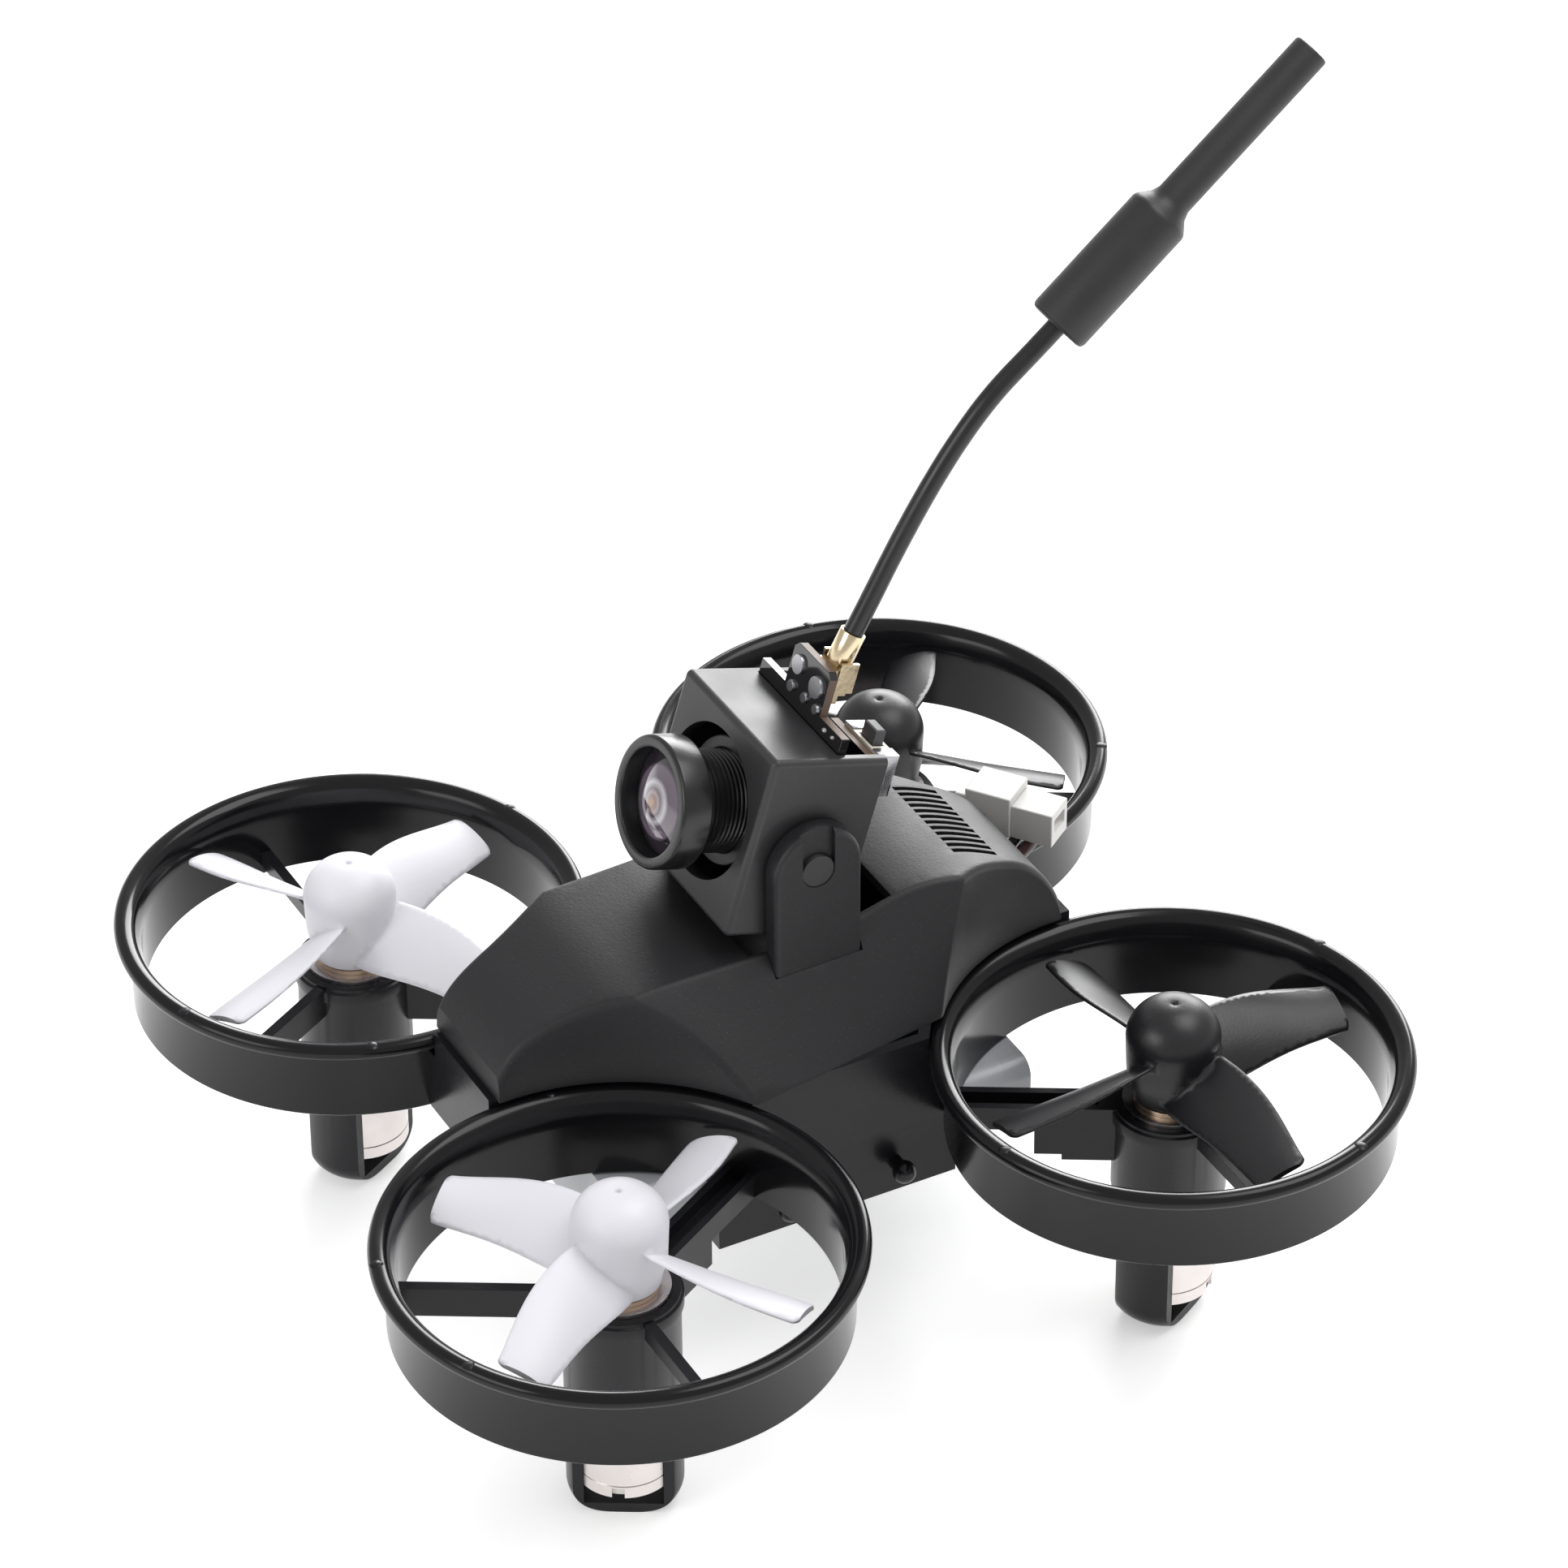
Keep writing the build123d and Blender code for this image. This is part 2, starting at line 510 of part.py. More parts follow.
LEAD_ROUTE = [crimp_point(CRIMP_LENGTH - 1.0), (0.8, 10.6, LIP_Z + 36.1), (0.8, 13.1, LIP_Z + 40.6),
              (0.8, 15.9, LIP_Z + 45.2), (0.8, 18.9, LIP_Z + 49.5), (0.8, 22.5, LIP_Z + 53.6),
              (0.8, 26.75, LIP_Z + 56.85), (0.8, 30.9, LIP_Z + 60.27)]
SLEEVE_GRIP = 3.0       # length of lead inside the sleeve


def corner_radii(points):
    radii = []
    for a, b, c in zip(points, points[1:], points[2:]):
        u, v = Vector(*b) - Vector(*a), Vector(*c) - Vector(*b)
        half_turn = math.radians(u.get_angle(v)) / 2
        radii.append(0.45 * min(u.length, v.length) / math.tan(half_turn))
    return radii


def tube(points, r):
    radii = corner_radii(points)
    path = FilletPolyline(*points, radius=radii)
    start = Plane(origin=path @ 0, z_dir=path % 0)
    solid = sweep(start * Circle(r), path=path)
    print("radii", [round(v, 1) for v in radii], "length", round(path.length, 2), "volume",
          round(solid.volume, 3), "against", round(math.pi * r * r * path.length, 3))
    return solid


save(tube(LEAD_ROUTE, COAX_R), "aerial_lead")


def aerial_sleeve():
    """Heat-shrunk sleeve: a wide part, a shoulder and a thin flat-ended part."""
    a, b = Vector(*LEAD_ROUTE[-2]), Vector(*LEAD_ROUTE[-1])
    along = (b - a).normalized()
    plane = Plane(origin=b - along * SLEEVE_GRIP, z_dir=along)
    wide, thin, bore = 2.8, 1.65, COAX_R + 0.02
    wide_len, thin_len = 13.3, 31.5
    outline = Polyline((bore, 0), (wide - 0.3, 0), (wide, 0.3), (wide, wide_len - 0.6), (wide - 0.5, wide_len),
                       (thin + 0.25, wide_len + 0.5), (thin, wide_len + 1.2), (thin, thin_len), (1.2, thin_len),
                       (1.2, SLEEVE_GRIP + 0.3), (bore, SLEEVE_GRIP + 0.3), close=True)
    return plane * revolve(Plane.XZ * make_face(outline), Axis.Z)


def aerial_element():
    """Copper radiator rod inside the sleeve's thin end."""
    a, b = Vector(*LEAD_ROUTE[-2]), Vector(*LEAD_ROUTE[-1])
    along = (b - a).normalized()
    return Plane(origin=b, z_dir=along) * rod(1.18, 0.31, 27.8)


save(aerial_sleeve(), "aerial_sleeve")
save(aerial_element(), "aerial_element")


# ---- electronics and battery inside the frame ------------------------------
def controller_board():
    board = block(-12.5, 12.5, -15, 15, CONTROL_Z, CONTROL_Z + 0.8)
    for cut in corner_rods(LIP_R + 1.6, CONTROL_Z - 1, CONTROL_Z + 2):
        board -= cut
    for x, y in SCREW_SPOTS:
        board -= rod(0.6, CONTROL_Z - 1, CONTROL_Z + 2, x, y)
    return board


def controller_chips():
    top = CONTROL_Z + 0.8
    return group([block(-3.5, 3.5, -3.5, 3.5, top, top + 0.9), block(-2.0, 2.0, 5.5, 9.5, top, top + 0.9),
                  block(-1.5, 1.5, -9.5, -5.5, top, top + 0.8), block(5.2, 7.8, -1.6, 1.6, top, top + 0.7),
                  block(-7.8, -5.2, -1.6, 1.6, top, top + 0.7)])


def controller_screws():
    top = CONTROL_Z + 0.8
    return group([rod(0.58, BELT_Z + 1.2, top + 0.1, x, y) + rod(1.1, top, top + 0.7, x, y)
                  for x, y in SCREW_SPOTS])


BATTERY_LOW = BELT_Z - TRAY_DEPTH + 0.75


def battery():
    pack = block(-12.9, 12.9, -20.5, 20.5, BATTERY_LOW, BATTERY_LOW + 6.3)
    return fillet(pack.edges().filter_by(Axis.Y), 1.6)


save(controller_board(), "flight_controller")
save(controller_chips(), "controller_chips")
save(controller_screws(), "controller_screws")
save(battery(), "battery")


# ---- battery connector pair and its leads ----------------------------------
PLUG_AT = (-6.78, 29.03, LIP_Z + 4.05)
PLUG_TURN = 36.0


def at_plug(shape):
    return Pos(*PLUG_AT) * Rot(0, 0, PLUG_TURN) * shape


def plug_housing():
    wide = block(-3.2, 1.2, -2.0, 2.0, -1.9, 2.3)
    step = block(-4.4, -3.2, -1.5, 1.5, -1.5, 1.2)
    return wide + step - block(-5.5, -3.6, -1.1, 1.1, -0.7, 0.7) - block(-2.2, -1.2, -3, -1.2, -0.9, 0.1)


def socket_housing():
    return block(1.2, 5.2, -1.7, 1.7, -1.9, 1.5) - block(4.4, 5.5, -1.1, 1.1, -0.7, 0.7)


save(at_plug(plug_housing()), "battery_plug")
save(at_plug(socket_housing()), "battery_socket")


# Each lead rises from the controller, leaves by the notch in the canopy's tail
# and ends under the connector.
SUPPLY_R = 0.55
SUPPLY_Z = PLUG_AT[2] - 1.9 - SUPPLY_R


def supply_lead(shift, end_x, end_y, bend_y):
    points = [(-1.4 + shift, 13.5, CONTROL_Z + 1.25), (-1.4 + shift, 17.5, LIP_Z - 0.9),
              (-1.4 + shift, 21.7, SUPPLY_Z), (-1.4 + shift, bend_y, SUPPLY_Z), (end_x, end_y, SUPPLY_Z)]
    return tube(points, SUPPLY_R)


save(supply_lead(0.0, -4.9, 31.3, 26.9), "supply_lead_plus")
save(supply_lead(-1.3, -6.4, 30.8, 26.3), "supply_lead_minus")
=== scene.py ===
# %% [markdown]
# # A palm-sized camera drone
# A light quadcopter: four propellers spin inside moulded ducts, and a small camera sits in
# a yoke on the canopy with its aerial standing out of the back. The rigid frame is loaded
# first and never moved. Each cell after that adds one finish or one piece on top of it.

# %% Load the frame
import json
import math

import bmesh
import bpy
from mathutils import Matrix, Vector


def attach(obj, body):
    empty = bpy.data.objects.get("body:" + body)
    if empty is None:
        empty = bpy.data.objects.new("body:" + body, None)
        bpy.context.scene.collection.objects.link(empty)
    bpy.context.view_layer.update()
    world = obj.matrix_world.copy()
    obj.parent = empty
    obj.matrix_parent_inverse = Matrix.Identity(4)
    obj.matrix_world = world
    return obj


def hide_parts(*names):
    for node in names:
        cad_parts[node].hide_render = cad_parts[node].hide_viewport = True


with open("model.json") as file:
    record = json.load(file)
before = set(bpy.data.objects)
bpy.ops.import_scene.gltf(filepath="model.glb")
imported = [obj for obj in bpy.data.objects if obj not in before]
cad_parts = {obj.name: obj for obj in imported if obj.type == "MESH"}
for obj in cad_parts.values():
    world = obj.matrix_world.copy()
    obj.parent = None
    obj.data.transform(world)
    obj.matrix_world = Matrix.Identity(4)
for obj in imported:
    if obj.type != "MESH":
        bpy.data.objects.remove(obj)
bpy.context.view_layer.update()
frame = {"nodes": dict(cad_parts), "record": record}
nodes = frame["nodes"]

# %% [markdown]
# ## Camera
# A long lens from the drone's front left, a little over a third of the way up. Its three
# directions are written as unit vectors, which is the same as turning it by hand but exact.

# %% Camera
right = Vector((0.47271, 0.88121, -0.00436))
up = Vector((-0.50662, 0.27581, 0.81686))
back = right.cross(up)
camera_data = bpy.data.cameras.new("studio_camera")
camera_data.sensor_width = 36.0
camera_data.lens = 153.66
camera_data.clip_start = 0.01
camera = bpy.data.objects.new("studio_camera", camera_data)
bpy.context.scene.collection.objects.link(camera)
turn = Matrix((right, up, back)).transposed().to_4x4()
camera.matrix_world = Matrix.Translation((0.41445, -0.21778, 0.37932)) @ turn
bpy.context.scene.camera = camera
print("camera looks along", tuple(round(v, 3) for v in -back))

# %% [markdown]
# ## The aerial's lead
# The lead is a thin stiff coaxial cable that stands up from its plug and leans back in one
# slow curve. A NURBS curve with a round bevel keeps it smooth at any distance, and its few
# control points are the same bends that the solid tube follows.

# %% The aerial's lead
MM = 0.001
LEAD_RADIUS = 0.0009
LIP_Z = 0.0282
lead_points = [(0.0008, 0.00874, LIP_Z + 0.03288), (0.0008, 0.0106, LIP_Z + 0.0361),
               (0.0008, 0.0131, LIP_Z + 0.0406), (0.0008, 0.0159, LIP_Z + 0.0452),
               (0.0008, 0.0189, LIP_Z + 0.0495), (0.0008, 0.0225, LIP_Z + 0.0536),
               (0.0008, 0.02675, LIP_Z + 0.05685), (0.0008, 0.0309, LIP_Z + 0.06027)]


def nurbs_cord(name, points, radius):
    """A round cord along one smooth spline with these control points."""
    curve = bpy.data.curves.new(name, "CURVE")
    curve.dimensions = "3D"
    curve.bevel_depth = radius
    curve.bevel_resolution = 6
    curve.resolution_u = 24
    curve.use_fill_caps = True
    spline = curve.splines.new("NURBS")
    spline.points.add(len(points) - 1)
    for control, place in zip(spline.points, points):
        control.co = (*place, 1.0)
    spline.order_u = 3
    spline.use_endpoint_u = True
    obj = bpy.data.objects.new(name, curve)
    bpy.context.scene.collection.objects.link(obj)
    return obj


lead = nurbs_cord("aerial_lead_cable", lead_points, LEAD_RADIUS)
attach(lead, "camera_head")
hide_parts("aerial_lead")
print("lead runs through", len(lead_points), "control points")

# %% [markdown]
# ## Supply leads
# Two thin wires rise from the controller and end under the battery connector. Most of their
# length is inside the canopy, and each is one spline of five points.

# %% Supply leads
SUPPLY_RADIUS = 0.00055
supply_routes = {
    "plus": [(-0.0014, 0.0135, 0.02425), (-0.0014, 0.0175, 0.0273), (-0.0014, 0.0217, 0.0298),
             (-0.0014, 0.0269, 0.0298), (-0.0049, 0.0313, 0.0298)],
    "minus": [(-0.0027, 0.0135, 0.02425), (-0.0027, 0.0175, 0.0273), (-0.0027, 0.0217, 0.0298),
              (-0.0027, 0.0263, 0.0298), (-0.0064, 0.0308, 0.0298)],
}
supply_leads = {}
for pole, route in supply_routes.items():
    wire = nurbs_cord("supply_wire_" + pole, route, SUPPLY_RADIUS)
    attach(wire, "airframe")
    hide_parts("supply_lead_" + pole)
    supply_leads[pole] = wire
print(len(supply_leads), "supply leads")

# %% [markdown]
# ## Shared effects
# Moulded plastic has a fine pebble grain and faint smears that change how it shines. Both
# are wanted on nearly every piece, so each is a node group with a few named inputs.

# %% Shared effects
def node_group(name, inputs, outputs):
    """An empty shader group with float inputs (name: default) and named outputs."""
    group = bpy.data.node_groups.new(name, "ShaderNodeTree")
    for label, value in inputs.items():
        socket = group.interface.new_socket(label, in_out="INPUT", socket_type="NodeSocketFloat")
        socket.default_value = value
    for label, kind in outputs.items():
        group.interface.new_socket(label, in_out="OUTPUT", socket_type=kind)
    return group, group.nodes.new("NodeGroupInput"), group.nodes.new("NodeGroupOutput")


def join(tree, a, a_socket, b, b_socket):
    tree.links.new(a.outputs[a_socket], b.inputs[b_socket])


def math_node(tree, operation, a=0.0, b=0.0):
    node = tree.nodes.new("ShaderNodeMath")
    node.operation = operation
    node.inputs[0].default_value = a
    node.inputs[1].default_value = b
    return node


def grain_group():
    """Height of a fine pebble grain, and a slow smear mask, both about nought to one."""
    group, enter, leave = node_group("moulded_grain", {"Grain Scale": 4000.0, "Smear Scale": 90.0},
                                     {"Height": "NodeSocketFloat", "Smear": "NodeSocketFloat"})
    place = group.nodes.new("ShaderNodeTexCoord")
    grain = group.nodes.new("ShaderNodeTexNoise")
    grain.inputs["Detail"].default_value = 3.0
    smear = group.nodes.new("ShaderNodeTexNoise")
    smear.inputs["Detail"].default_value = 4.0
    for texture, label in ((grain, "Grain Scale"), (smear, "Smear Scale")):
        join(group, place, "Object", texture, "Vector")
        join(group, enter, label, texture, "Scale")
    join(group, grain, "Fac", leave, "Height")
    join(group, smear, "Fac", leave, "Smear")
    return group


def speckle_group():
    """Mask of sparse fine specks, as dust or glass filler shows in dark plastic."""
    group, enter, leave = node_group("fine_specks", {"Scale": 2500.0, "Cutoff": 0.12},
                                     {"Mask": "NodeSocketFloat"})
    place = group.nodes.new("ShaderNodeTexCoord")
    cells = group.nodes.new("ShaderNodeTexVoronoi")
    join(group, place, "Object", cells, "Vector")
    join(group, enter, "Scale", cells, "Scale")
    below = math_node(group, "LESS_THAN")
    join(group, cells, "Distance", below, 0)
    join(group, enter, "Cutoff", below, 1)
    join(group, below, 0, leave, "Mask")
    return group


def axis_group(origin, axis):
    """Distance of a point from the lens's axis, in metres, for marks that run in rings."""
    group, enter, leave = node_group("lens_axis", {}, {"Radius": "NodeSocketFloat"})
    place = group.nodes.new("ShaderNodeTexCoord")
    offset = group.nodes.new("ShaderNodeVectorMath")
    offset.operation = "SUBTRACT"
    offset.inputs[1].default_value = origin
    across = group.nodes.new("ShaderNodeVectorMath")
    across.operation = "CROSS_PRODUCT"
    across.inputs[1].default_value = axis
    size = group.nodes.new("ShaderNodeVectorMath")
    size.operation = "LENGTH"
    join(group, place, "Object", offset, 0)
    join(group, offset, 0, across, 0)
    join(group, across, 0, size, 0)
    join(group, size, "Value", leave, "Radius")
    return group


TILT = math.radians(17.1)
HEAD = Matrix.Translation((0.0, 0.0007, LIP_Z + 0.0176)) @ Matrix.Rotation(-TILT, 4, "X")
LENS = HEAD @ Matrix.Translation((0.0, -0.0117, 0.0011)) @ Matrix.Rotation(-math.pi / 2, 4, "X")
GRAIN = grain_group()
SPECKS = speckle_group()
LENS_AXIS = axis_group(LENS.translation, LENS.to_3x3() @ Vector((0, 0, 1)))
print("shared groups:", GRAIN.name, SPECKS.name, LENS_AXIS.name)

# %% [markdown]
# ## Plastic finishes
# One recipe makes every plastic here: a base colour that drifts a little with the smears,
# a roughness that the smears vary, and a bump from the grain. Only the numbers change, from
# the polished ducts to the sandy canopy.

# %% Plastic finishes
def plastic(name, color, rough=0.4, spread=0.12, grain=4000.0, depth=0.0, smear=90.0, specks=0.0,
            speck_color=(0.3, 0.3, 0.32), coat=0.0, drift=0.25, ior=1.5, sheen=0.5):
    material = bpy.data.materials.new(name)
    material.use_nodes = True
    tree = material.node_tree
    shader = tree.nodes["Principled BSDF"]
    shader.inputs["IOR"].default_value = ior
    shader.inputs["Specular IOR Level"].default_value = sheen
    shader.inputs["Coat Weight"].default_value = coat
    shader.inputs["Coat Roughness"].default_value = 0.06
    effect = tree.nodes.new("ShaderNodeGroup")
    effect.node_tree = GRAIN
    effect.inputs["Grain Scale"].default_value = grain
    effect.inputs["Smear Scale"].default_value = smear
    tint = tree.nodes.new("ShaderNodeMix")
    tint.data_type = "RGBA"
    dark = [c * (1.0 - drift) for c in color]
    light = [min(1.0, c * (1.0 + drift)) for c in color]
    tint.inputs["A"].default_value = (*dark, 1.0)
    tint.inputs["B"].default_value = (*light, 1.0)
    tree.links.new(effect.outputs["Smear"], tint.inputs["Factor"])
    last = tint.outputs["Result"]
    if specks:
        dots = tree.nodes.new("ShaderNodeGroup")
        dots.node_tree = SPECKS
        dots.inputs["Cutoff"].default_value = specks
        dust = tree.nodes.new("ShaderNodeMix")
        dust.data_type = "RGBA"
        tree.links.new(dots.outputs["Mask"], dust.inputs["Factor"])
        tree.links.new(last, dust.inputs["A"])
        dust.inputs["B"].default_value = (*speck_color, 1.0)
        last = dust.outputs["Result"]
    tree.links.new(last, shader.inputs["Base Color"])
    vary = tree.nodes.new("ShaderNodeMapRange")
    vary.inputs["From Min"].default_value = 0.3
    vary.inputs["From Max"].default_value = 0.7
    vary.inputs["To Min"].default_value = max(0.02, rough - spread)
    vary.inputs["To Max"].default_value = rough + spread
    tree.links.new(effect.outputs["Smear"], vary.inputs["Value"])
    tree.links.new(vary.outputs["Result"], shader.inputs["Roughness"])
    if depth:
        bump = tree.nodes.new("ShaderNodeBump")
        bump.inputs["Distance"].default_value = depth
        bump.inputs["Strength"].default_value = 1.0
        tree.links.new(effect.outputs["Height"], bump.inputs["Height"])
        tree.links.new(bump.outputs["Normal"], shader.inputs["Normal"])
    return material


def metal(name, color, rough=0.25, spread=0.1, grain=3000.0, smear=200.0, depth=0.00001, drift=0.15):
    material = plastic(name, color, rough, spread, grain, depth, smear, drift=drift)
    material.node_tree.nodes["Principled BSDF"].inputs["Metallic"].default_value = 1.0
    return material


def ringed_glass(name, bands):
    """Coated lens glass: its colour goes in rings, given as (radius in metres, colour)."""
    material = plastic(name, (0.02, 0.01, 0.03), rough=0.04, spread=0.01, coat=1.0, drift=0.0)
    tree = material.node_tree
    rings = tree.nodes.new("ShaderNodeGroup")
    rings.node_tree = LENS_AXIS
    reach = bands[-1][0]
    scale = math_node(tree, "DIVIDE", 0.0, reach)
    ramp = tree.nodes.new("ShaderNodeValToRGB")
    stops = ramp.color_ramp.elements
    while len(stops) < len(bands):
        stops.new(0.5)
    for stop, (radius, color) in zip(stops, bands):
        stop.position = radius / reach
        stop.color = (*color, 1.0)
    join(tree, rings, "Radius", scale, 0)
    join(tree, scale, 0, ramp, "Fac")
    shader = tree.nodes["Principled BSDF"]
    tree.links.new(ramp.outputs["Color"], shader.inputs["Base Color"])
    return material


FINISH = {
    "duct_black": plastic("duct_black", (0.005, 0.005, 0.006), rough=0.17, spread=0.05, smear=120.0,
                          sheen=0.3),
    "frame_black": plastic("frame_black", (0.008, 0.008, 0.01), rough=0.3, spread=0.08, depth=0.000008,
                           sheen=0.3),
    "canopy_black": plastic("canopy_black", (0.013, 0.013, 0.015), rough=0.5, spread=0.07, grain=3500.0,
                            depth=0.00002, specks=0.075, speck_color=(0.08, 0.08, 0.085), sheen=0.42),
    "motor_steel": metal("motor_steel", (0.75, 0.7, 0.68), rough=0.24),
    "end_cap_plastic": plastic("end_cap_plastic", (0.7, 0.68, 0.62), rough=0.5, depth=0.00001),
    "coil_copper": metal("coil_copper", (0.75, 0.35, 0.16), rough=0.35),
    "shaft_steel": metal("shaft_steel", (0.62, 0.62, 0.64), rough=0.18),
    "magnet_steel": metal("magnet_steel", (0.5, 0.5, 0.52), rough=0.35),
    "bush_bronze": metal("bush_bronze", (0.62, 0.48, 0.36), rough=0.3),
    "propeller_white": plastic("propeller_white", (0.8, 0.79, 0.84), rough=0.42, spread=0.06,
                               depth=0.000008, drift=0.03),
    "propeller_black": plastic("propeller_black", (0.009, 0.009, 0.011), rough=0.38, spread=0.08,
                               depth=0.00001),
    "camera_black": plastic("camera_black", (0.028, 0.028, 0.03), rough=0.42, spread=0.07, depth=0.000012,
                            specks=0.06, speck_color=(0.1, 0.1, 0.11)),
    "board_black": plastic("board_black", (0.008, 0.008, 0.009), rough=0.1, spread=0.05, smear=400.0,
                           coat=0.6),
    "board_green": plastic("board_green", (0.01, 0.06, 0.03), rough=0.25),
    "lens_black": plastic("lens_black", (0.01, 0.01, 0.011), rough=0.24, spread=0.06, depth=0.000006),
    "lens_glass": ringed_glass("lens_glass", [
        (0.0, (0.42, 0.2, 0.06)), (0.00055, (0.16, 0.09, 0.06)), (0.0009, (0.3, 0.22, 0.24)),
        # the pale stop at 1.75 mm is a painted reflection of a softbox, carried round the whole ring
        (0.0012, (0.08, 0.06, 0.07)), (0.00175, (0.5, 0.47, 0.52)), (0.00215, (0.12, 0.09, 0.12)),
        (0.0031, (0.16, 0.12, 0.16)), (0.0034, (0.02, 0.014, 0.02)), (0.0046, (0.035, 0.025, 0.04))]),
    "lead_red": plastic("lead_red", (0.03, 0.008, 0.008), rough=0.35, smear=500.0),
    "solder_tin": metal("solder_tin", (0.42, 0.42, 0.44), rough=0.3),
    "chip_black": plastic("chip_black", (0.012, 0.012, 0.012), rough=0.45),
    "button_white": plastic("button_white", (0.7, 0.66, 0.58), rough=0.35, drift=0.1),
    "button_grey": plastic("button_grey", (0.07, 0.07, 0.075), rough=0.45),
    "plug_gold": metal("plug_gold", (0.75, 0.62, 0.42), rough=0.24),
    "lead_jacket": plastic("lead_jacket", (0.009, 0.009, 0.01), rough=0.3, spread=0.1, smear=500.0),
    "sleeve_black": plastic("sleeve_black", (0.018, 0.018, 0.019), rough=0.5, spread=0.08, smear=160.0,
                            depth=0.00002),
    "battery_silver": plastic("battery_silver", (0.4, 0.41, 0.43), rough=0.3),
    "connector_white": plastic("connector_white", (0.72, 0.71, 0.69), rough=0.4, drift=0.04),
}
EDGE_BROWN = plastic("board_edge", (0.13, 0.085, 0.06), rough=0.55, drift=0.2, depth=0.00001)
print(len(FINISH), "finishes")

# %% [markdown]
# ## Finish on the frame's own nodes
# A loaded node is loose triangles. A Weld joins them, and on the listed nodes a tiny Bevel
# gives each hard edge the thin line of light a moulding has.

# %% Finish on the frame's own nodes
SLOT_OF = {part["node"]: part["material_slot"] for part in frame["record"]["subparts"]}


def finish_node(name, bevel=0.0):
    node = nodes[name]
    node.data.materials.clear()
    node.data.materials.append(FINISH[SLOT_OF[name]])
    weld = node.modifiers.new("join_edges", "WELD")
    weld.merge_threshold = 0.000002
    if bevel:
        soften = node.modifiers.new("soft_edges", "BEVEL")
        soften.width = bevel
        soften.segments = 2
        soften.limit_method = "ANGLE"
        soften.angle_limit = math.radians(32)
        soften.harden_normals = False


SOFT_EDGES = {"canopy": 0.12, "camera_yoke": 0.3, "camera_housing": 0.18, "frame_tray": 0.12,
              "aerial_sleeve": 0.25, "aerial_plug": 0.08, "battery_plug": 0.12, "battery_socket": 0.12,
              "channel_button_body": 0.08, "button_board": 0.04, "camera_board": 0.04,
              "camera_pivot_pins": 0.2, "lens_holder": 0.1}
POD_SOFT_EDGE = 0.12
for name in nodes:
    width = POD_SOFT_EDGE if name.startswith("motor_pod") else SOFT_EDGES.get(name, 0.0)
    finish_node(name, width * MM)
WIRE_FINISH = ((lead, "lead_jacket"), (supply_leads["plus"], "lead_red"),
               (supply_leads["minus"], "lead_jacket"))
for wire, key in WIRE_FINISH:
    wire.data.materials.append(FINISH[key])
print("finished", len(nodes), "nodes")

# %% [markdown]
# ## Turned pieces
# Ducts and lenses are shapes turned about one axis. An outline of radius and height is spun
# with bmesh, its doubles are merged, and edges stay sharp only where the outline turns hard.

# %% Turned pieces
def add_piece(name, shape, material, body, stands_for=()):
    """Make an object of this bmesh, shade it and declare what it rides on."""
    bmesh.ops.recalc_face_normals(shape, faces=shape.faces)
    mesh = bpy.data.meshes.new(name)
    shape.to_mesh(mesh)
    shape.free()
    mesh.shade_smooth()
    mesh.set_sharp_from_angle(angle=math.radians(38))
    mesh.materials.append(material)
    obj = bpy.data.objects.new(name, mesh)
    bpy.context.scene.collection.objects.link(obj)
    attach(obj, body)
    if stands_for:
        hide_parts(*stands_for)
    return obj


def arc(start, middle, end, count=8):
    """Points along the circle through three (radius, height) points, the first one left out."""
    (ax, ay), (bx, by), (cx, cy) = start, middle, end
    d = 2 * (ax * (by - cy) + bx * (cy - ay) + cx * (ay - by))
    a2, b2, c2 = ax * ax + ay * ay, bx * bx + by * by, cx * cx + cy * cy
    ux = (a2 * (by - cy) + b2 * (cy - ay) + c2 * (ay - by)) / d
    uy = (a2 * (cx - bx) + b2 * (ax - cx) + c2 * (bx - ax)) / d
    angles = [math.atan2(y - uy, x - ux) for x, y in (start, middle, end)]
    sweep = (angles[2] - angles[0]) % (2 * math.pi)
    if (angles[1] - angles[0]) % (2 * math.pi) > sweep:
        sweep -= 2 * math.pi
    r = math.hypot(ax - ux, ay - uy)
    steps = [angles[0] + sweep * k / count for k in range(1, count + 1)]
    return [(ux + r * math.cos(t), uy + r * math.sin(t)) for t in steps]


def spun(shape, outline, place, steps=96, closed=True):
    """Spin an outline in millimetres about Z, put it at place and add it to the bmesh."""
    ring = [shape.verts.new((r * MM, 0.0, z * MM)) for r, z in outline]
    pairs = list(zip(ring, ring[1:])) + ([(ring[-1], ring[0])] if closed else [])
    edges = [shape.edges.new(pair) for pair in pairs]
    before = set(shape.verts) - set(ring)
    bmesh.ops.spin(shape, geom=ring + edges, axis=(0, 0, 1), cent=(0, 0, 0), angle=2 * math.pi, steps=steps,
                   use_merge=True)
    fresh = [v for v in shape.verts if v not in before]
    bmesh.ops.remove_doubles(shape, verts=fresh, dist=0.0000005)
    fresh = [v for v in shape.verts if v not in before]
    bmesh.ops.transform(shape, matrix=place, verts=fresh)


TOP = LIP_Z / MM
lip = [(18.6, TOP - 8.05), (18.75, TOP - 8.2), (19.55, TOP - 8.2), (19.7, TOP - 8.05), (19.7, TOP - 2.0)]
lip += arc(lip[-1], (19.95, TOP - 1.55), (20.45, TOP - 1.45), 5)
lip += arc(lip[-1], (21.0, TOP - 0.85), (20.35, TOP), 14)
lip += arc(lip[-1], (19.6, TOP - 0.2), (19.05, TOP - 0.95), 7)
lip += [(18.8, TOP - 1.5), (18.66, TOP - 2.1), (18.6, TOP - 2.8)]
CORNERS = {"front_left": (26.25, -26.75), "front_right": (-26.25, -26.75), "rear_left": (26.25, 26.75),
           "rear_right": (-26.25, 26.75)}
GATES = {"front_left": (-64, -108, 170), "front_right": (-70, -20, 110), "rear_left": (-75, 20, 110),
         "rear_right": (-100, 60, 170)}
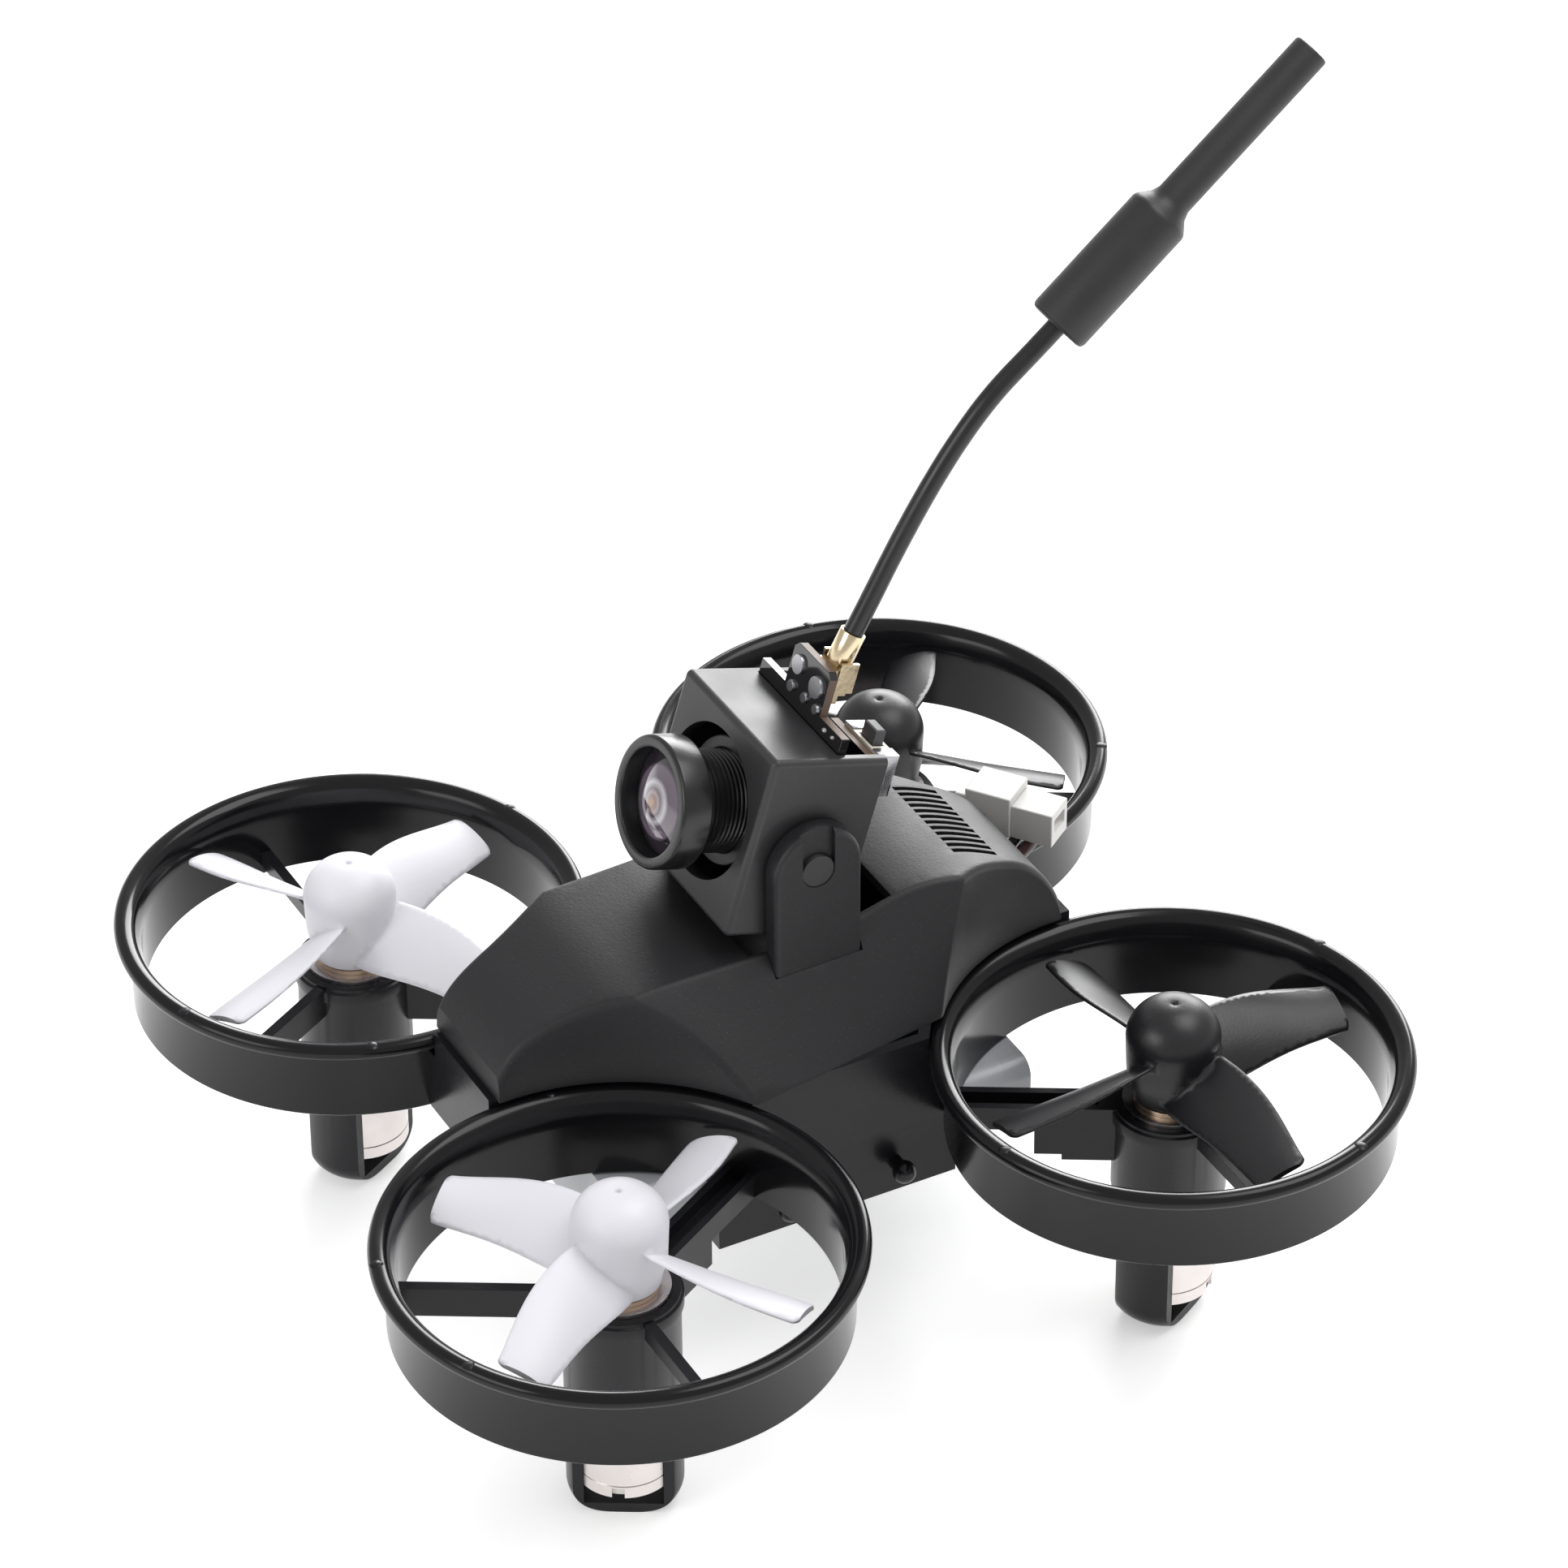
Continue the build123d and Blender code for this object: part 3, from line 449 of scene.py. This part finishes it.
CREST_R = 20.35         # radius of the lip's highest line, where the gate marks stand
gate_mark = [(0.001, 0.03), (0.36, 0.03), (0.46, -0.02), (0.6, -0.12), (0.001, -0.12)]
for corner, (x, y) in CORNERS.items():
    shape = bmesh.new()
    spun(shape, lip, Matrix.Translation((x * MM, y * MM, 0.0)), steps=160)
    add_piece("duct_wall_" + corner, shape, FINISH["duct_black"], "airframe",
              ("duct_ring_" + corner,))
    shape = bmesh.new()
    for degrees in GATES[corner]:
        t = math.radians(degrees)
        across, along = x + CREST_R * math.cos(t), y + CREST_R * math.sin(t)
        place = Matrix.Translation((across * MM, along * MM, LIP_Z))
        spun(shape, gate_mark, place, steps=20)
    add_piece("duct_gate_marks_" + corner, shape, FINISH["frame_black"], "airframe")
print("ducts spun")

# %% [markdown]
# ## Lens
# A wide front ring, a threaded barrel behind it and dark steps inside that stop stray light.
# The glass is a deep dome whose colour goes in rings round an amber middle; its pale violet ring is a
# painted reflection of a softbox.

# %% Lens
thread = []
for k in range(13):
    z = 3.35 + k * 0.42
    thread += [(4.5, z), (4.32, z + 0.12), (4.32, z + 0.2), (4.5, z + 0.34)]
barrel = [(4.7, 2.2), (4.7, 0.2)]
barrel += arc(barrel[-1], (4.76, 0.06), (4.9, 0.0), 3) + [(5.45, 0.0)]
barrel += arc(barrel[-1], (5.7, 0.1), (5.8, 0.35), 4) + [(5.8, 2.75)]
barrel += arc(barrel[-1], (5.73, 2.93), (5.55, 3.0), 3) + [(4.75, 3.0), (4.5, 3.2)]
barrel += thread + [(4.5, 11.1), (4.35, 11.2), (2.6, 11.2), (2.6, 3.6), (2.9, 3.4), (4.0, 3.4), (4.0, 2.2)]
shape = bmesh.new()
spun(shape, barrel, LENS, steps=128)
add_piece("lens_threaded_barrel", shape, FINISH["lens_black"], "focus_ring", ("lens_barrel",))

crown = [(0.0, 0.35)]
crown += arc((0.0, 0.35), (2.4, 0.72), (4.66, 1.7), 16) + [(4.66, 2.1), (0.0, 2.1)]
shape = bmesh.new()
spun(shape, crown, LENS, steps=96, closed=False)
add_piece("lens_front_crown", shape, FINISH["lens_glass"], "focus_ring", ("lens_front_glass",))
print("lens turned")

# %% [markdown]
# ## Boards and switch
# Cut board edges show brown glass fibre, solder stands in low beads, and the switch has a
# pale metal frame with folded corners round its grey cap.

# %% Boards and switch
def slab(shape, low, high, place, edge=0.0):
    """A block from low to high in millimetres, with its edges bevelled, put at place."""
    made = bmesh.ops.create_cube(shape, size=1.0)["verts"]
    for v in made:
        v.co = Vector([(a + b) / 2 + c * (b - a) for a, b, c in zip(low, high, v.co)]) * MM
    faces = {f for v in made for f in v.link_faces}
    if edge:
        edges = list({e for f in faces for e in f.edges})
        result = bmesh.ops.bevel(shape, geom=edges, offset=edge * MM, offset_type="OFFSET", affect="EDGES",
                                 segments=2, profile=0.5, material=-1)
        made = list({v for f in result["faces"] for v in f.verts})
    bmesh.ops.transform(shape, matrix=place, verts=made)


shape = bmesh.new()
for low, high in (((-3.13, 0.82, 11.05), (-3.06, 1.58, 14.5)), ((3.06, 0.82, 11.05), (3.13, 1.58, 14.5)),
                  ((-2.5, 0.82, 14.97), (2.5, 1.58, 15.04)), ((3.2, 0.82, 10.97), (7.05, 1.58, 11.04)),
                  ((-0.15, 4.42, 8.87), (7.05, 5.18, 8.94))):
    slab(shape, low, high, HEAD)
add_piece("board_cut_edges", shape, EDGE_BROWN, "camera_head")

shape = bmesh.new()
for low, high in (((0.9, 5.22, 5.3), (2.3, 7.2, 9.32)), ((5.7, 5.22, 5.3), (7.1, 7.2, 9.32)),
                  ((0.9, 6.95, 5.3), (7.1, 7.22, 6.5))):
    slab(shape, low, high, HEAD, 0.06)
add_piece("switch_frame", shape, FINISH["solder_tin"], "camera_head")

shape = bmesh.new()
for x, z, r in ((4.3, 10.3, 0.3), (5.7, 10.4, 0.22)):
    place = HEAD @ Matrix.Translation((x * MM, 0.8 * MM, z * MM)) @ Matrix.Rotation(math.pi / 2, 4, "X")
    bead = [(0.0, 0.22)] + arc((0.0, 0.22), (r * 0.75, 0.14), (r, 0.0), 5)
    spun(shape, bead, place, steps=20, closed=False)
add_piece("board_solder_beads", shape, FINISH["solder_tin"], "camera_head")
print("boards dressed")

# %% [markdown]
# ## Cord facts
# The lead is a stiff cable of about 36 mm that ends in its radiating sleeve.

# %% Cord facts
print("the lead is a stiff cable of about 36 mm")

# %% [markdown]
# ## Studio
# A pale floor and three large soft lights, as for a product picture.

# %% Studio
floor_mesh = bpy.data.meshes.new("studio_floor")
shape = bmesh.new()
bmesh.ops.create_grid(shape, x_segments=1, y_segments=1, size=3.0)
shape.to_mesh(floor_mesh)
shape.free()
floor = bpy.data.objects.new("studio_floor", floor_mesh)
bpy.context.scene.collection.objects.link(floor)
pale = plastic("pale_floor", (0.9, 0.9, 0.9), rough=0.7, drift=0.0, sheen=0.1)
pale.node_tree.nodes["Principled BSDF"].inputs["Emission Color"].default_value = (1.0, 1.0, 1.0, 1.0)
pale.node_tree.nodes["Principled BSDF"].inputs["Emission Strength"].default_value = 0.4
floor_mesh.materials.append(pale)


def soft_light(name, place, target, size, power):
    lamp = bpy.data.lights.new(name, "AREA")
    lamp.shape = "RECTANGLE"
    lamp.size, lamp.size_y = size
    lamp.energy = power
    obj = bpy.data.objects.new(name, lamp)
    direction = Vector(place) - Vector(target)
    obj.matrix_world = Matrix.Translation(place) @ direction.to_track_quat("Z", "Y").to_matrix().to_4x4()
    bpy.context.scene.collection.objects.link(obj)


soft_light("top_softbox", (0.1, 0.3, 0.65), (0, 0, 0.03), (0.5, 0.4), 2.4)
soft_light("left_softbox", (0.1, -0.8, 0.45), (0, 0, 0.03), (0.5, 0.4), 1.8)
soft_light("rear_softbox", (-0.55, 0.5, 0.26), (0, 0, 0.04), (0.5, 0.35), 5.5)
world = bpy.data.worlds.new("studio_world")
world.use_nodes = True
world.node_tree.nodes["Background"].inputs["Color"].default_value = (1.0, 1.0, 1.0, 1.0)
world.node_tree.nodes["Background"].inputs["Strength"].default_value = 0.6
bpy.context.scene.world = world
bpy.context.scene.view_settings.view_transform = "Standard"
print("studio lit")
